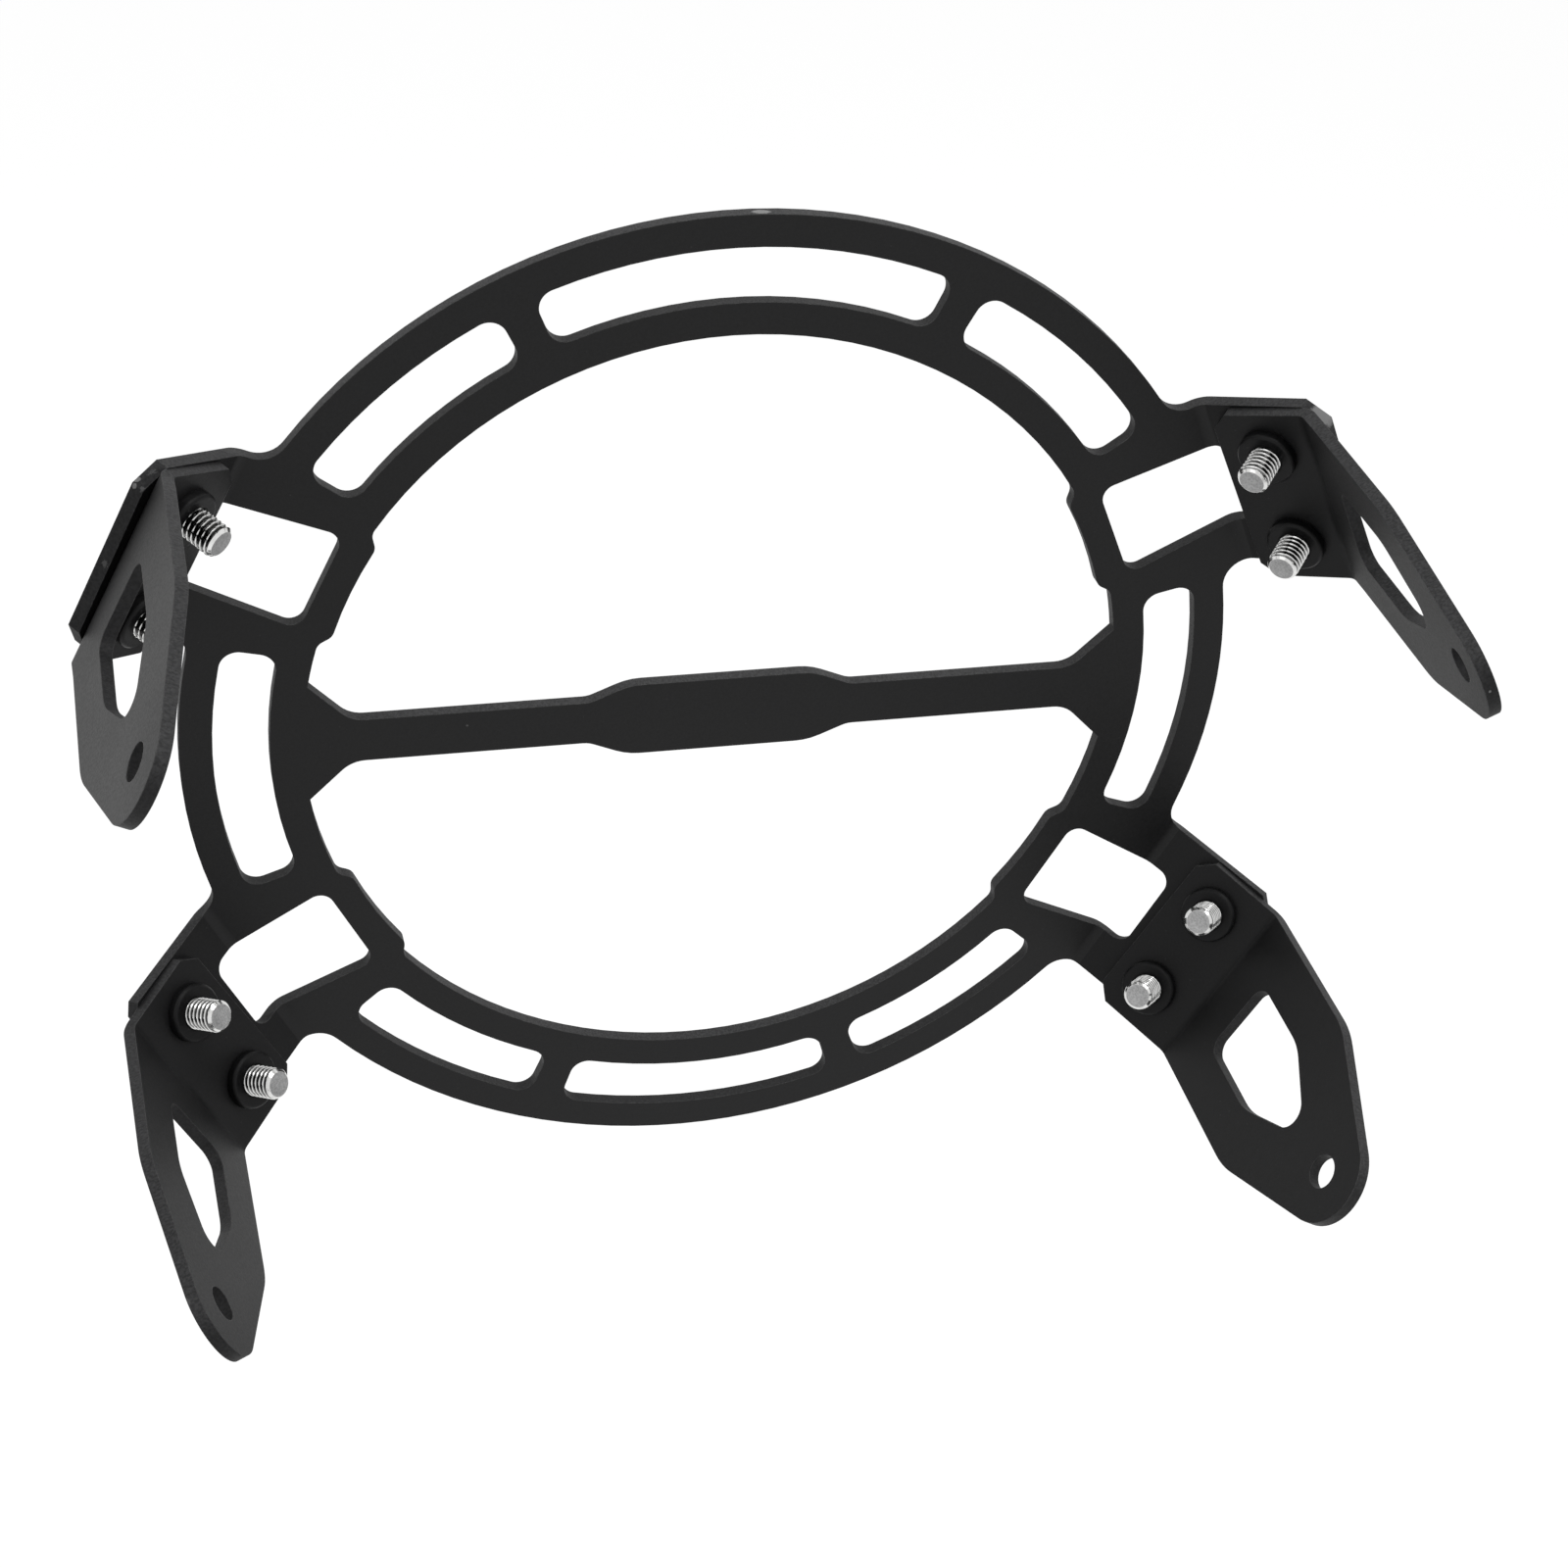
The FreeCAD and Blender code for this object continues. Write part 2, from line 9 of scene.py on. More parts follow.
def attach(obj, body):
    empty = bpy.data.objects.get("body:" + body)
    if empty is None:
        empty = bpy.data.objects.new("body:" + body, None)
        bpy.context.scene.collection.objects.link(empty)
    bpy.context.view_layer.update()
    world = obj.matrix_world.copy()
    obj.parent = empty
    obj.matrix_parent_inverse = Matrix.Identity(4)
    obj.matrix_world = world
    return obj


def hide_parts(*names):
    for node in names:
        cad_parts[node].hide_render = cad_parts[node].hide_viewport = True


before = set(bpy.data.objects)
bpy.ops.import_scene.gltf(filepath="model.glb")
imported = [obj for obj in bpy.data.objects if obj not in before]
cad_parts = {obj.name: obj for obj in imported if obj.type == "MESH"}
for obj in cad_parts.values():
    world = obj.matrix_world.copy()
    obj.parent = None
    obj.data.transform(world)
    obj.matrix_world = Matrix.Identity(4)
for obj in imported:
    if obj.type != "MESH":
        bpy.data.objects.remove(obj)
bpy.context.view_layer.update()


# Guard plate. The real piece is one laser-cut sheet of 2.5 mm steel whose four
# ears are bent back by 45 degrees. It is sprayed with satin black powder and
# baked, which leaves a fine pebbled skin and a thinner, greyer coat on cut edges.
# Cut edges that look up and stand free are lightened further with painted
# highlight, and those inside windows or looking sideways or down are left in painted shade.

PAINT = (0.0085, 0.0085, 0.0088, 1.0)
# Cut-edge colours: the lighter one is painted highlight on edges that look up and stand free, the
# darker one painted shade on edges inside windows or looking sideways or down
CUT_EDGE_IN_PAINTED_LIGHT = (0.034, 0.034, 0.035, 1.0)
CUT_EDGE_IN_PAINTED_SHADE = (0.014, 0.014, 0.0145, 1.0)
# Rim colour: paint worn thin on corners, together with painted highlight along them
RIM_WEAR_AND_PAINTED_HIGHLIGHT = (0.16, 0.16, 0.16, 1.0)
PEBBLE_SIZE = 0.00045
SHEEN_OF_PAINT = 0.154
EXTRA_GLOSS, GLOSS_ROUGHNESS = 0.13, 0.48
PLATE_BEND_HEIGHT = 0.0033


def new_group(name, inputs, outputs):
    """Empty shader node group with named sockets, and its input and output nodes."""
    group = bpy.data.node_groups.new(name, "ShaderNodeTree")
    for label, kind, value in inputs:
        socket = group.interface.new_socket(label, in_out="INPUT", socket_type=kind)
        socket.default_value = value
    for label, kind in outputs:
        group.interface.new_socket(label, in_out="OUTPUT", socket_type=kind)
    return group, group.nodes.new("NodeGroupInput"), group.nodes.new("NodeGroupOutput")


def wire(tree, socket, source):
    """Joins a source to an input socket, or writes a plain value into it."""
    if isinstance(source, bpy.types.NodeSocket):
        tree.links.new(source, socket)
    elif source is not None:
        socket.default_value = source


def maths(tree, operation, a, b=None, c=None, clamp=False):
    """One Math node on up to three values."""
    node = tree.nodes.new("ShaderNodeMath")
    node.operation, node.use_clamp = operation, clamp
    for socket, source in zip(node.inputs, (a, b, c)):
        wire(tree, socket, source)
    return node.outputs[0]


def vector_maths(tree, operation, a, b=None, scale=None):
    """One Vector Math node; the fourth socket is the scale. Dot products and lengths come
    out as a value."""
    node = tree.nodes.new("ShaderNodeVectorMath")
    node.operation = operation
    for socket, source in zip(node.inputs, (a, b)):
        wire(tree, socket, source)
    wire(tree, node.inputs[3], scale)
    return node.outputs["Value" if operation in ("DOT_PRODUCT", "LENGTH") else "Vector"]


def ramp(tree, value, low, high, to_low=0.0, to_high=1.0):
    """Smooth step of a value from low to high."""
    node = tree.nodes.new("ShaderNodeMapRange")
    node.interpolation_type = "SMOOTHSTEP"
    for label, source in (("Value", value), ("From Min", low), ("From Max", high),
                          ("To Min", to_low), ("To Max", to_high)):
        wire(tree, node.inputs[label], source)
    return node.outputs["Result"]


def noise(tree, place, per_metre, detail=2.0, roughness=0.5):
    """Noise value between 0 and 1, with so many bumps to the metre."""
    node = tree.nodes.new("ShaderNodeTexNoise")
    for label, source in (("Vector", place), ("Scale", per_metre), ("Detail", detail),
                          ("Roughness", roughness)):
        wire(tree, node.inputs[label], source)
    return node.outputs["Fac"]


def blend_colours(tree, share, a, b):
    """Colour a where the share is 0 and colour b where it is 1."""
    node = tree.nodes.new("ShaderNodeMix")
    node.data_type = "RGBA"
    for socket, source in zip((node.inputs[0], node.inputs[6], node.inputs[7]), (share, a, b)):
        wire(tree, socket, source)
    return node.outputs[2]


def build_powder_skin():
    """Pebbled skin of baked powder: fine bumps over a longer orange peel, a slow drift of
    tone and tiny pale specks."""
    group, given, made = new_group(
        "powder_skin",
        [("Paint", "NodeSocketColor", PAINT), ("Pebble Size", "NodeSocketFloat", PEBBLE_SIZE)],
        [("Color", "NodeSocketColor"), ("Roughness", "NodeSocketFloat"),
         ("Height", "NodeSocketFloat")])
    place = group.nodes.new("ShaderNodeTexCoord").outputs["Object"]
    per_metre = maths(group, "DIVIDE", 1.0, given.outputs["Pebble Size"])
    pebbles = noise(group, place, per_metre, 3.0, 0.6)
    orange_peel = noise(group, place, maths(group, "MULTIPLY", per_metre, 0.22), 2.0, 0.45)
    drift = noise(group, place, 21.0, 2.0, 0.5)
    tone = maths(group, "ADD", ramp(group, pebbles, 0.3, 0.7, 0.78, 1.22),
                 ramp(group, drift, 0.3, 0.7, -0.1, 0.1))
    speck = ramp(group, noise(group, place, maths(group, "MULTIPLY", per_metre, 0.75), 0.0),
                 0.82, 0.88, 0.0, 0.025)
    toned = vector_maths(group, "SCALE", given.outputs["Paint"], scale=tone)
    lit = blend_colours(group, speck, toned, (0.5, 0.5, 0.5, 1.0))
    rough = maths(group, "ADD", ramp(group, pebbles, 0.3, 0.7, 0.43, 0.53),
                  ramp(group, drift, 0.35, 0.65, -0.03, 0.03))
    height = maths(group, "ADD", maths(group, "MULTIPLY", pebbles, 0.6),
                   maths(group, "MULTIPLY", orange_peel, 0.9))
    for label, source in (("Color", lit), ("Roughness", rough), ("Height", height)):
        wire(group, made.inputs[label], source)
    return group


def build_cut_edges():
    """Mask of the cut edges of a bent sheet, the streaks that the laser leaves on them, and
    a mask of what lies past the bend. Across the sheet is the direction
    cos(turn) * Y - sin(turn) * outwards, where the turn changes at the bend, and an edge is
    where the surface looks at right angles to it."""
    group, given, made = new_group(
        "cut_edges",
        [("Turn Before Bend", "NodeSocketFloat", 0.0),
         ("Turn After Bend", "NodeSocketFloat", np.pi / 4),
         ("Bend Height", "NodeSocketFloat", PLATE_BEND_HEIGHT)],
        [("Edge", "NodeSocketFloat"), ("Streak", "NodeSocketFloat"),
         ("Past Bend", "NodeSocketFloat")])
    coordinates = group.nodes.new("ShaderNodeTexCoord")
    place, facing = coordinates.outputs["Object"], coordinates.outputs["Normal"]
    outwards = vector_maths(group, "NORMALIZE",
                            vector_maths(group, "MULTIPLY", place, (1.0, 0.0, 1.0)))
    apart = group.nodes.new("ShaderNodeSeparateXYZ")
    wire(group, apart.inputs[0], place)
    past = maths(group, "GREATER_THAN", apart.outputs["Y"], given.outputs["Bend Height"])
    step = maths(group, "SUBTRACT", given.outputs["Turn After Bend"],
                 given.outputs["Turn Before Bend"])
    turn = maths(group, "MULTIPLY_ADD", past, step, given.outputs["Turn Before Bend"])
    along_y = vector_maths(group, "SCALE", (0.0, 1.0, 0.0), scale=maths(group, "COSINE", turn))
    inwards = vector_maths(group, "SCALE", outwards, scale=maths(group, "SINE", turn))
    across = vector_maths(group, "SUBTRACT", along_y, inwards)
    squareness = maths(group, "ABSOLUTE", vector_maths(group, "DOT_PRODUCT", facing, across))
    edge = ramp(group, squareness, 0.5, 0.72, 1.0, 0.0)
    depth = vector_maths(group, "DOT_PRODUCT", place, across)
    squashed = vector_maths(group, "SUBTRACT", place, vector_maths(
        group, "SCALE", across, scale=maths(group, "MULTIPLY", depth, 0.4)))
    streak = noise(group, squashed, 2600.0, 3.0, 0.6)
    for label, source in (("Edge", edge), ("Streak", streak), ("Past Bend", past)):
        wire(group, made.inputs[label], source)
    return group


def build_painted_light_mask():
    """Painted light mask: how far a spot looks up and stands free, 1 on open upper edges,
    near 0 inside windows and on edges that look sideways or down. The former get painted
    highlight and the latter painted shade."""
    group, given, made = new_group(
        "painted_light_mask",
        [("Shelter", "NodeSocketFloat", 0.02)],
        [("Painted Light", "NodeSocketFloat")])
    sheltered = group.nodes.new("ShaderNodeAmbientOcclusion")
    sheltered.samples = 12
    wire(group, sheltered.inputs["Distance"], given.outputs["Shelter"])
    facing = group.nodes.new("ShaderNodeTexCoord").outputs["Normal"]
    # Painted light: lit where the normal looks up and nothing stands close by, painted shade in
    # recesses
    looks_up = ramp(group, vector_maths(group, "DOT_PRODUCT", facing, (0.0, 0.0, 1.0)), 0.15, 0.7)
    free = ramp(group, sheltered.outputs["AO"], 0.9, 1.0)
    wire(group, made.inputs["Painted Light"], maths(group, "MULTIPLY", looks_up, free))
    return group


def build_rim_wear_and_highlight():
    """Mask of the outer corners, lightened both by thin paint and by painted highlight: how
    far the rounded normal leaves the true one, broken up by noise. The rounded normal comes
    out too."""
    group, given, made = new_group(
        "rim_wear_and_highlight",
        [("Width", "NodeSocketFloat", 0.0003), ("Raggedness", "NodeSocketFloat", 0.5)],
        [("Rim", "NodeSocketFloat"), ("Normal", "NodeSocketVector")])
    rounded = group.nodes.new("ShaderNodeBevel")
    rounded.samples = 6
    wire(group, rounded.inputs["Radius"], given.outputs["Width"])
    true_normal = group.nodes.new("ShaderNodeNewGeometry").outputs["Normal"]
    place = group.nodes.new("ShaderNodeTexCoord").outputs["Object"]
    together = vector_maths(group, "DOT_PRODUCT", rounded.outputs["Normal"], true_normal)
    bend = ramp(group, together, 0.82, 0.985, 1.0, 0.0)
    broken = ramp(group, noise(group, place, 900.0, 3.0, 0.6), 0.42, 0.62)
    kept = maths(group, "SUBTRACT", 1.0, maths(
        group, "MULTIPLY", given.outputs["Raggedness"], maths(group, "SUBTRACT", 1.0, broken)))
    wire(group, made.inputs["Rim"], maths(group, "MULTIPLY", bend, kept, clamp=True))
    wire(group, made.inputs["Normal"], rounded.outputs["Normal"])
    return group


def build_scuff():
    """Mask of one rubbed spot: inside a stretched ball about its place, with a torn outline."""
    group, given, made = new_group(
        "scuff",
        [("Place", "NodeSocketVector", (0, 0, 0)), ("Reach", "NodeSocketVector", (0.001,) * 3),
         ("Torn", "NodeSocketFloat", 0.5)],
        [("Mask", "NodeSocketFloat")])
    place = group.nodes.new("ShaderNodeTexCoord").outputs["Object"]
    offset = vector_maths(group, "DIVIDE", vector_maths(
        group, "SUBTRACT", place, given.outputs["Place"]), given.outputs["Reach"])
    far = vector_maths(group, "LENGTH", offset)
    tear = maths(group, "MULTIPLY", given.outputs["Torn"], maths(
        group, "SUBTRACT", noise(group, place, 3200.0, 3.0, 0.6), 0.42))
    torn = maths(group, "MULTIPLY_ADD", tear, 5.0, far)
    wire(group, made.inputs["Mask"], ramp(group, torn, 0.75, 1.0, 1.0, 0.0))
    return group


powder_skin, cut_edges = build_powder_skin(), build_cut_edges()
painted_light_mask, rim_wear_and_highlight, scuff = build_painted_light_mask(), build_rim_wear_and_highlight(), build_scuff()


def new_material(name):
    """Material with its node tree, its shader and a Bump node wired to the shader's normal."""
    material = bpy.data.materials.new(name)
    material.use_nodes = True
    tree = material.node_tree
    shader = tree.nodes["Principled BSDF"]
    bump = tree.nodes.new("ShaderNodeBump")
    tree.links.new(bump.outputs["Normal"], shader.inputs["Normal"])
    return material, tree, shader, bump


def place_group(tree, group, **values):
    """A group in a material, with its inputs set; underscores in names stand for spaces."""
    node = tree.nodes.new("ShaderNodeGroup")
    node.node_tree = group
    for label, value in values.items():
        wire(tree, node.inputs[label.replace("_", " ").title()], value)
    return node.outputs


def coated_sheet(name, turns, bend_height, scuffs, dullness=0.0):
    """Powder-coated sheet: pebbled faces, greyer streaked cut edges that carry painted
    highlight where they look up and stand free and painted shade where sheltered, rims
    lightened by wear and painted highlight, and the scuffs given as (place, reach, colour,
    strength, torn). The turns are those before and past the bend. The sloping part, turned
    by 45 degrees, is duller. The rest carries the extra gloss, and the dullness is added to
    its roughness."""
    material, tree, shader, bump = new_material(name)
    skin = place_group(tree, powder_skin)
    cut = place_group(tree, cut_edges, turn_before_bend=turns[0], turn_after_bend=turns[1],
                      bend_height=bend_height)
    rim = place_group(tree, rim_wear_and_highlight)
    # Cut edges get painted highlight where they look up and stand free, and painted shade inside
    # windows and where they look sideways or down
    cut_edge_light_and_shade = blend_colours(tree, place_group(tree, painted_light_mask)["Painted Light"], CUT_EDGE_IN_PAINTED_SHADE,
                               CUT_EDGE_IN_PAINTED_LIGHT)
    streaked = vector_maths(tree, "SCALE", cut_edge_light_and_shade,
                            scale=ramp(tree, cut["Streak"], 0.3, 0.7, 0.55, 1.45))
    slope = cut["Past Bend"] if turns[0] == 0.0 else maths(tree, "SUBTRACT", 1.0, cut["Past Bend"])
    level_part = maths(tree, "SUBTRACT", 1.0, slope)
    colour = blend_colours(tree, cut["Edge"], skin["Color"], streaked)
    # Rims lightened by thin paint and by painted highlight
    colour = blend_colours(tree, maths(tree, "MULTIPLY", rim["Rim"], 0.6), colour, RIM_WEAR_AND_PAINTED_HIGHLIGHT)
    rough = maths(tree, "MULTIPLY_ADD", cut["Edge"], 0.12,
                  maths(tree, "MULTIPLY_ADD", level_part, dullness, skin["Roughness"]))
    shader.inputs["Specular IOR Level"].default_value = SHEEN_OF_PAINT
    shader.inputs["Coat Roughness"].default_value = GLOSS_ROUGHNESS
    wire(tree, shader.inputs["Coat Weight"], maths(tree, "MULTIPLY", level_part, EXTRA_GLOSS))
    wire(tree, bump.inputs["Normal"], rim["Normal"])
    for place, reach, shade, strength, torn in scuffs:
        spot = place_group(tree, scuff, place=place, reach=reach, torn=torn)["Mask"]
        mask = maths(tree, "MULTIPLY", spot, strength)
        colour = blend_colours(tree, mask, colour, shade)
        rough = maths(tree, "MULTIPLY_ADD", mask, -0.1, rough)
    height = maths(tree, "MULTIPLY_ADD", maths(tree, "MULTIPLY", cut["Edge"], cut["Streak"]),
                   0.8, skin["Height"])
    wire(tree, shader.inputs["Base Color"], colour)
    wire(tree, shader.inputs["Roughness"], rough)
    wire(tree, bump.inputs["Height"], height)
    bump.inputs["Strength"].default_value = 0.55
    bump.inputs["Distance"].default_value = 0.00005
    return material


def dress(node, material):
    """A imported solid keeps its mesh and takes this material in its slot."""
    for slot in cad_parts[node].material_slots:
        slot.material = material


PALE_SCRAPE = (0.25, 0.25, 0.25, 1.0)
DULL_SCRAPE = (0.10, 0.10, 0.10, 1.0)
plate_scuffs = [
    ((-0.0016, 0.0014, 0.1000), (0.0020, 0.0009, 0.0007), PALE_SCRAPE, 1.0, 0.15),
    ((-0.1039, 0.0177, 0.0635), (0.0030, 0.0026, 0.0027), PALE_SCRAPE, 0.8, 0.08),
    ((0.1059, 0.0186, 0.0635), (0.0008, 0.0005, 0.0008), PALE_SCRAPE, 0.8, 0.2),
    ((0.1052, 0.0178, 0.0642), (0.0008, 0.0005, 0.0008), PALE_SCRAPE, 0.7, 0.2),
    ((0.1045, 0.0196, 0.0631), (0.0006, 0.0009, 0.0006), PALE_SCRAPE, 0.25, 0.6),
    ((0.1027, 0.0171, 0.0649), (0.0009, 0.0005, 0.0009), PALE_SCRAPE, 0.2, 0.8),
    ((0.1112, 0.0191, 0.0495), (0.0006, 0.0010, 0.0008), PALE_SCRAPE, 0.25, 0.7),
    ((0.0478, 0.0025, 0.0015), (0.0003, 0.0004, 0.00025), PALE_SCRAPE, 0.3, 0.2)]
dress("guard_plate",
      coated_sheet("coated_plate", (0.0, np.pi / 4), PLATE_BEND_HEIGHT, plate_scuffs))


# Four brackets. Each is 2.3 mm steel sheet, laser-cut and bent once: a flange
# seats on the plate's ear and a long tapering leg runs back to the motorcycle.
# They are coated in the same powder as the plate.

BRACKET_BEND_HEIGHT = {"upper": 0.0200, "lower": 0.0232}
BRACKET_DULLNESS = {"upper_right": 0.12, "lower_left": 0.09}
bracket_scuffs = {
    "upper_right": [((-0.1088, 0.0860, 0.0472), (0.0004, 0.0004, 0.0004), PALE_SCRAPE, 0.8, 0.1)],
    "lower_left": [((0.1075, 0.0842, -0.0560), (0.0006, 0.0014, 0.0006), DULL_SCRAPE, 0.7, 0.3)]}
for level, bend_height in BRACKET_BEND_HEIGHT.items():
    for side in ("left", "right"):
        corner = f"{level}_{side}"
        dress(f"{corner}_bracket", coated_sheet(
            f"coated_{corner}_bracket", (np.pi / 4, np.pi / 2), bend_height,
            bracket_scuffs.get(corner, []), BRACKET_DULLNESS.get(corner, 0.0)))


# Eight clinch nuts. Low round steel bodies pressed into the brackets' flanges
# before coating, so the powder covers them too; the turned face stays smoother.

PAINT_ON_NUT = (0.006, 0.006, 0.0063, 1.0)
SHEEN_OF_NUT = 0.93 * SHEEN_OF_PAINT


def coated_nut():
    """Smoother powder coat with an outer rim lightened by wear and painted highlight."""
    material, tree, shader, bump = new_material("coated_nut")
    skin = place_group(tree, powder_skin, paint=PAINT_ON_NUT, pebble_size=0.0006)
    rim = place_group(tree, rim_wear_and_highlight, width=0.0007, raggedness=0.6)
    # Outer rim lightened a little by wear and by painted highlight
    colour = blend_colours(tree, maths(tree, "MULTIPLY", rim["Rim"], 0.12),
                           skin["Color"], RIM_WEAR_AND_PAINTED_HIGHLIGHT)
    wire(tree, bump.inputs["Normal"], rim["Normal"])
    wire(tree, shader.inputs["Base Color"], colour)
    wire(tree, shader.inputs["Roughness"], maths(tree, "SUBTRACT", skin["Roughness"], 0.08))
    wire(tree, bump.inputs["Height"], skin["Height"])
    bump.inputs["Strength"].default_value = 0.35
    bump.inputs["Distance"].default_value = 0.00004
    shader.inputs["Specular IOR Level"].default_value = SHEEN_OF_NUT
    return material


nut_material = coated_nut()
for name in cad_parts:
    if name.endswith("_clinch_nut"):
        dress(name, nut_material)


# Eight M6 button-head screws of bright steel. The rolled thread runs through
# ear, bracket and nut and stands out behind; the head sits on the road side.

RING_RADIUS = 0.100
PLATE_THICKNESS = 0.0025
SCREW_SPACING = 0.0204
# Angle of the ear, rim to bend, bend to screws, bracket along its bend line, its turn
SCREW_PLACES = {"upper": (np.radians(24.4), 0.00375, 0.01295, -0.0011, np.radians(-1.6)),
                "lower": (np.radians(-28.3), 0.00175, 0.0161, -0.0049, np.radians(2.0))}
SHANK_RADIUS, SHANK_LENGTH, TIP_CHAMFER = 0.0030, 0.0130, 0.0006
HEAD_RADIUS, HEAD_HEIGHT, HEAD_RIM = 0.00525, 0.0033, 0.0005
SOCKET_WIDTH, SOCKET_DEPTH, SOCKET_LEAD_IN, DRILL_DEPTH = 0.0040, 0.0020, 0.00062, 0.0003
EDGE_ROUND, TIP_DISH = 0.00008, 0.00005
PITCH, THREAD_DEPTH = 0.0010, 0.00061
# Flats at crest and root as shares of the pitch
CREST_FLAT, ROOT_FLAT = 1 / 8, 1 / 4
# Plain lengths of the shank at head and tip, and the lengths over which the thread deepens
PLAIN_AT_HEAD, RAMP_AT_HEAD, PLAIN_AT_TIP, RAMP_AT_TIP = 0.0008, 0.001, 0.0003, 0.0006
# The groove attribute is 0 on a crest and 1 at a root, and has these values elsewhere.
# The steel takes painted shade from it on flanks and roots, and the head and the
# socket's drilled point are darkened part of the way towards the flank colour
HEAD_TONE, DRILL_TONE, TIP_TONE = 0.3, 0.6, -1.0
COLUMNS, ROWS_PER_TURN = 60, 10
CREST_STEEL, STAINED_STEEL = (0.74, 0.74, 0.73, 1.0), (0.60, 0.60, 0.59, 1.0)
# Painted shade for thread flanks and, darker, for thread roots
FLANK_IN_PAINTED_SHADE, ROOT_IN_PAINTED_SHADE = (0.17, 0.17, 0.168, 1.0), (0.02, 0.02, 0.02, 1.0)
SHEARED_DARK, SHEARED_PALE = (0.27, 0.27, 0.27, 1.0), (0.38, 0.38, 0.38, 1.0)
# Painted highlight along the screws' rims
STEEL_RIM_PAINTED_HIGHLIGHT = (0.72, 0.72, 0.71, 1.0)


def screw_frames(level, side):
    """Frames of a bracket's two screws, with z along the screw. The ear slopes at 45
    degrees from the bend line, and the bracket is turned a little about its middle."""
    mirror = 1.0 if side == "left" else -1.0
    turn, rim_to_bend, reach, shift, bracket_turn = SCREW_PLACES[level]
    outwards = np.array([mirror * np.cos(turn), 0.0, np.sin(turn)])
    rearwards = np.array([0.0, 1.0, 0.0])
    along = np.cross(outwards, rearwards)
    uphill = (outwards + rearwards) / np.sqrt(2)
    normal = np.cross(along, uphill)
    middle = (along * mirror * shift + outwards * (RING_RADIUS + rim_to_bend)
              + rearwards * PLATE_THICKNESS + uphill * reach - normal * PLATE_THICKNESS)
    lean = mirror * bracket_turn
    x_axis = along * np.cos(lean) + uphill * np.sin(lean)
    y_axis = np.cross(normal, x_axis)
    ends = [middle + x_axis * step * SCREW_SPACING / 2 for step in (-1, 1)]
    ends.sort(key=lambda end: end[2], reverse=True)
    return [(name, np.column_stack([x_axis, y_axis, normal]), end)
            for name, end in zip(("top", "bottom"), ends)]


def screw_surface():
    """Radius and height of a screw over a grid of profile rows and columns about its axis.
    Hexagon: apothem / cos(angle from the middle of the side). Dome: part of a ball.
    Thread: the radius falls by a V with flat crest and root, whose phase is
    height / pitch - angle / full turn. It fades in past the head and out before the tip,
    and a cone at the tip cuts it. The last value is the height of the socket's drilled point."""
    angle = np.linspace(0, 2 * np.pi, COLUMNS, endpoint=False)[None, :]
    hexagon = SOCKET_WIDTH / 2 / np.cos((angle % (np.pi / 3)) - np.pi / 6)
    ones = np.ones_like(angle)
    dome_rise = HEAD_HEIGHT - HEAD_RIM
    ball = (HEAD_RADIUS ** 2 + dome_rise ** 2) / (2 * dome_rise)

    def dome(radius):
        return ball - HEAD_HEIGHT - np.sqrt(ball ** 2 - radius ** 2)

    floor = SOCKET_DEPTH - HEAD_HEIGHT
    mouth = SOCKET_WIDTH / 2 * 1.2
    rows = [(0.35 * hexagon, floor + 0.6 * DRILL_DEPTH), (0.97 * hexagon, floor),
            (hexagon, floor - 0.2 * DRILL_DEPTH), (hexagon, -HEAD_HEIGHT + SOCKET_LEAD_IN),
            (np.maximum(hexagon * 1.02, mouth * 0.985), dome(mouth) + EDGE_ROUND)]
    for radius in np.linspace(mouth, HEAD_RADIUS * 0.985, 9):
        rows.append((radius * ones, dome(radius)))
    rows += [(HEAD_RADIUS * 0.997 * ones, -HEAD_RIM), (HEAD_RADIUS * ones, -HEAD_RIM * 0.75),
             (HEAD_RADIUS * ones, -EDGE_ROUND), ((HEAD_RADIUS - EDGE_ROUND) * ones, 0.0),
             (SHANK_RADIUS * 1.02 * ones, 0.0), (SHANK_RADIUS * ones, EDGE_ROUND / 2)]
    radius = np.vstack([row[0] for row in rows])
    height = np.vstack([row[1] * ones for row in rows])
    groove = np.full_like(radius, HEAD_TONE)
    turns = SHANK_LENGTH / PITCH
    down = np.linspace(0.0002, SHANK_LENGTH, int(turns * ROWS_PER_TURN))[:, None]
    wave = np.abs(((down / PITCH - angle / (2 * np.pi)) % 1.0) * 2 - 1)
    share = np.clip((wave - CREST_FLAT) / (1 - CREST_FLAT - ROOT_FLAT), 0, 1)
    share = share * np.clip((down - PLAIN_AT_HEAD) / RAMP_AT_HEAD, 0, 1)
    share = share * np.clip((SHANK_LENGTH - down - PLAIN_AT_TIP) / RAMP_AT_TIP, 0, 1)
    thread = SHANK_RADIUS - THREAD_DEPTH * share
    cone = SHANK_RADIUS - TIP_CHAMFER + (SHANK_LENGTH - down) * ones
    thread = np.minimum(thread, cone)
    rim = thread[-1:]
    dish = SHANK_LENGTH - TIP_DISH
    tip = [(rim * 0.97, SHANK_LENGTH), (rim * 0.62, SHANK_LENGTH), (rim * 0.56, dish),
           (rim * 0.2, dish)]
    radius = np.vstack([radius, thread] + [row[0] for row in tip])
    height = np.vstack([height, down * ones] + [row[1] * ones for row in tip])
    groove = np.vstack([groove, share] + [np.full_like(ones, TIP_TONE)] * len(tip))
    return angle, radius, height, groove, floor + DRILL_DEPTH


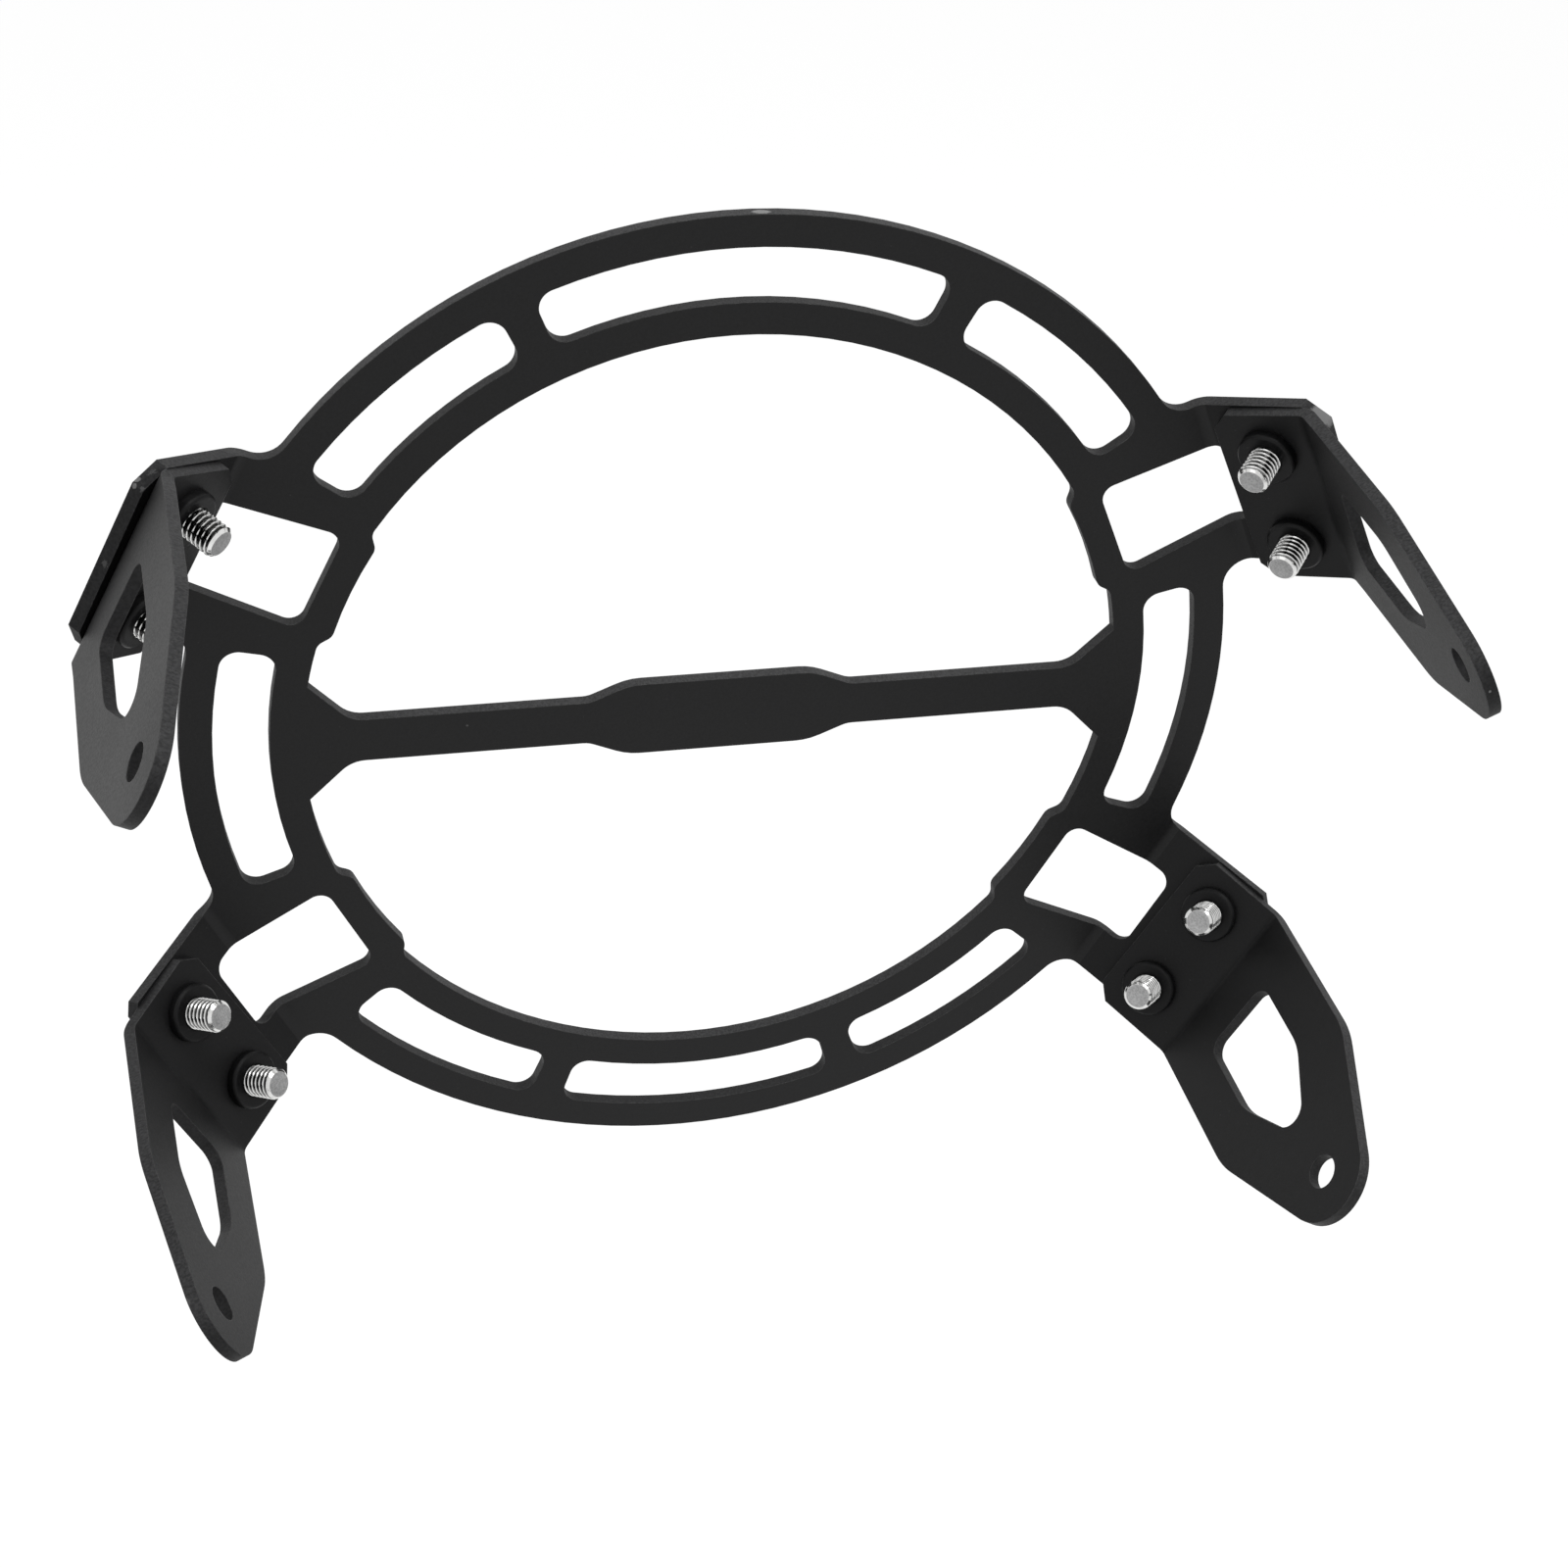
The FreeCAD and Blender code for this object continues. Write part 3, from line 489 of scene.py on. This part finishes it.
def screw_mesh(name, axes, origin):
    """Mesh of one screw at its place: rings of points joined by quads, closed by a fan at
    the socket's floor and another at the tip."""
    angle, radius, height, groove, drill_point = screw_surface()
    rows, columns = radius.shape
    grid = np.stack([radius * np.cos(angle), radius * np.sin(angle), height], axis=-1)
    poles = [[0, 0, drill_point], [0, 0, SHANK_LENGTH - TIP_DISH]]
    points = np.vstack([grid.reshape(-1, 3), poles])
    points = points @ axes.T + origin
    here = np.arange(rows * columns).reshape(rows, columns)
    right = np.roll(here, -1, axis=1)
    quads = np.stack([here[:-1], here[1:], right[1:], right[:-1]], axis=-1).reshape(-1, 4)
    head_fan = np.stack([np.full(columns, rows * columns), here[0], right[0]], axis=-1)
    tip_fan = np.stack([np.full(columns, rows * columns + 1), right[-1], here[-1]], axis=-1)
    mesh = bpy.data.meshes.new(name)
    mesh.from_pydata(points.tolist(), [], quads.tolist() + head_fan.tolist() + tip_fan.tolist())
    mesh.polygons.foreach_set("use_smooth", np.ones(len(mesh.polygons), bool))
    depth = mesh.attributes.new("groove", "FLOAT", "POINT")
    depths = np.append(groove.ravel(), [DRILL_TONE, TIP_TONE]).astype(np.float32)
    depth.data.foreach_set("value", depths)
    mesh.set_sharp_from_angle(angle=np.radians(28))
    return mesh


def bright_steel():
    """Plated steel: bright crests, flanks and thread roots darkened with painted shade, a duller
    sheared tip, a little grain, and rims lightened with painted highlight."""
    material, tree, shader, bump = new_material("bright_steel")
    place = tree.nodes.new("ShaderNodeTexCoord").outputs["Object"]
    attribute = tree.nodes.new("ShaderNodeAttribute")
    attribute.attribute_name = "groove"
    root = attribute.outputs["Fac"]
    grain = noise(tree, place, 2600.0, 2.0, 0.6)
    stain = noise(tree, place, 420.0, 3.0, 0.6)
    rim = place_group(tree, rim_wear_and_highlight, width=0.0002, raggedness=0.2)
    steel = blend_colours(tree, ramp(tree, stain, 0.35, 0.7), CREST_STEEL, STAINED_STEEL)
    # Painted shade darkens the thread flanks and, deeper in, the roots
    steel = blend_colours(tree, ramp(tree, root, 0.12, 0.42), steel, FLANK_IN_PAINTED_SHADE)
    steel = blend_colours(tree, ramp(tree, root, 0.62, 0.95), steel, ROOT_IN_PAINTED_SHADE)
    sheared = ramp(tree, root, TIP_TONE, -0.2, 1.0, 0.0)
    tip_steel = blend_colours(tree, ramp(tree, grain, 0.35, 0.65), SHEARED_DARK, SHEARED_PALE)
    steel = blend_colours(tree, sheared, steel, tip_steel)
    # Painted highlight along the rims
    steel = blend_colours(tree, maths(tree, "MULTIPLY", rim["Rim"], 0.6), steel, STEEL_RIM_PAINTED_HIGHLIGHT)
    wire(tree, shader.inputs["Base Color"], steel)
    wire(tree, shader.inputs["Roughness"], maths(
        tree, "MULTIPLY_ADD", sheared, 0.3, ramp(tree, grain, 0.3, 0.7, 0.12, 0.2)))
    wire(tree, bump.inputs["Height"], grain)
    bump.inputs["Strength"].default_value = 0.3
    bump.inputs["Distance"].default_value = 0.00002
    shader.inputs["Metallic"].default_value = 1.0
    return material


steel_material = bright_steel()
for level in SCREW_PLACES:
    for side in ("left", "right"):
        for end, axes, origin in screw_frames(level, side):
            node = f"{level}_{side}_{end}_screw"
            screw = bpy.data.objects.new(f"{node}_threaded", screw_mesh(node, axes, origin))
            bpy.context.scene.collection.objects.link(screw)
            screw.data.materials.append(steel_material)
            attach(screw, "root")
            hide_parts(node)


# Stage: a wide pale floor below the part, a white surround, soft lamps and the
# camera behind and above the guard, as in the photograph.

FLOOR_HEIGHT, FLOOR_HALF, FLOOR_TONE = -0.42, 12.0, 0.62
WHITE = (1.0, 1.0, 1.0, 1.0)
SURROUND_LIGHT = 0.55
LENS, SENSOR = 68.657, 36.0


def seen_directly(tree):
    """1 for camera, mirror and glass rays, 0 for light that the scene scatters."""
    path = tree.nodes.new("ShaderNodeLightPath")
    seen = maths(tree, "MAXIMUM", path.outputs["Is Camera Ray"], path.outputs["Is Glossy Ray"])
    return maths(tree, "MAXIMUM", seen, path.outputs["Is Transmission Ray"])


floor_mesh = bpy.data.meshes.new("floor")
floor_mesh.from_pydata([(x * FLOOR_HALF, y * FLOOR_HALF, FLOOR_HEIGHT)
                        for x, y in ((-1, -1), (1, -1), (1, 1), (-1, 1))], [], [(0, 1, 2, 3)])
floor = bpy.data.objects.new("floor", floor_mesh)
bpy.context.scene.collection.objects.link(floor)
pale = bpy.data.materials.new("pale_floor")
pale.use_nodes = True
tree = pale.node_tree
tree.nodes.clear()
matt = tree.nodes.new("ShaderNodeBsdfDiffuse")
matt.inputs["Color"].default_value = (FLOOR_TONE, FLOOR_TONE, FLOOR_TONE, 1.0)
glow = tree.nodes.new("ShaderNodeEmission")
wire(tree, glow.inputs["Strength"], maths(tree, "MULTIPLY", seen_directly(tree), FLOOR_TONE))
both = tree.nodes.new("ShaderNodeAddShader")
tree.links.new(matt.outputs[0], both.inputs[0])
tree.links.new(glow.outputs[0], both.inputs[1])
tree.links.new(both.outputs[0], tree.nodes.new("ShaderNodeOutputMaterial").inputs["Surface"])
floor_mesh.materials.append(pale)

world = bpy.data.worlds.new("surround")
bpy.context.scene.world = world
world.use_nodes = True
tree = world.node_tree
background = tree.nodes["Background"]
background.inputs["Color"].default_value = WHITE
wire(tree, background.inputs["Strength"],
     ramp(tree, seen_directly(tree), 0.0, 1.0, SURROUND_LIGHT, 1.0))

middle_of_guard = Vector((0.0, 0.03, 0.0))
# Name, place, size and power of each soft lamp
for name, place, width, power in (("overhead", (-0.35, 0.25, 1.10), 0.6, 5.0),
                                  ("side_fill", (1.05, 0.75, 0.45), 0.8, 1.2)):
    lamp = bpy.data.lights.new(name, "AREA")
    lamp.shape, lamp.size, lamp.energy = "SQUARE", width, power
    holder = bpy.data.objects.new(name, lamp)
    bpy.context.scene.collection.objects.link(holder)
    holder.location = place
    holder.rotation_mode = "QUATERNION"
    holder.rotation_quaternion = (middle_of_guard - holder.location).to_track_quat("-Z", "Y")

camera_data = bpy.data.cameras.new("camera")
camera_data.sensor_width, camera_data.lens = SENSOR, LENS
camera_data.clip_start, camera_data.clip_end = 0.01, 100.0
camera = bpy.data.objects.new("camera", camera_data)
bpy.context.scene.collection.objects.link(camera)
camera_right = (-0.9676968, 0.2427466, 0.0680951)
camera_up = (-0.0798459, -0.5512716, 0.8304964)
camera_back = (0.2391391, 0.7982316, 0.5528461)
camera_place = (0.123659, 0.460639, 0.299975)
turned = Matrix((camera_right, camera_up, camera_back)).transposed().to_4x4()
camera.matrix_world = Matrix.Translation(camera_place) @ turned
bpy.context.scene.camera = camera

bpy.context.scene.view_settings.view_transform = "Standard"
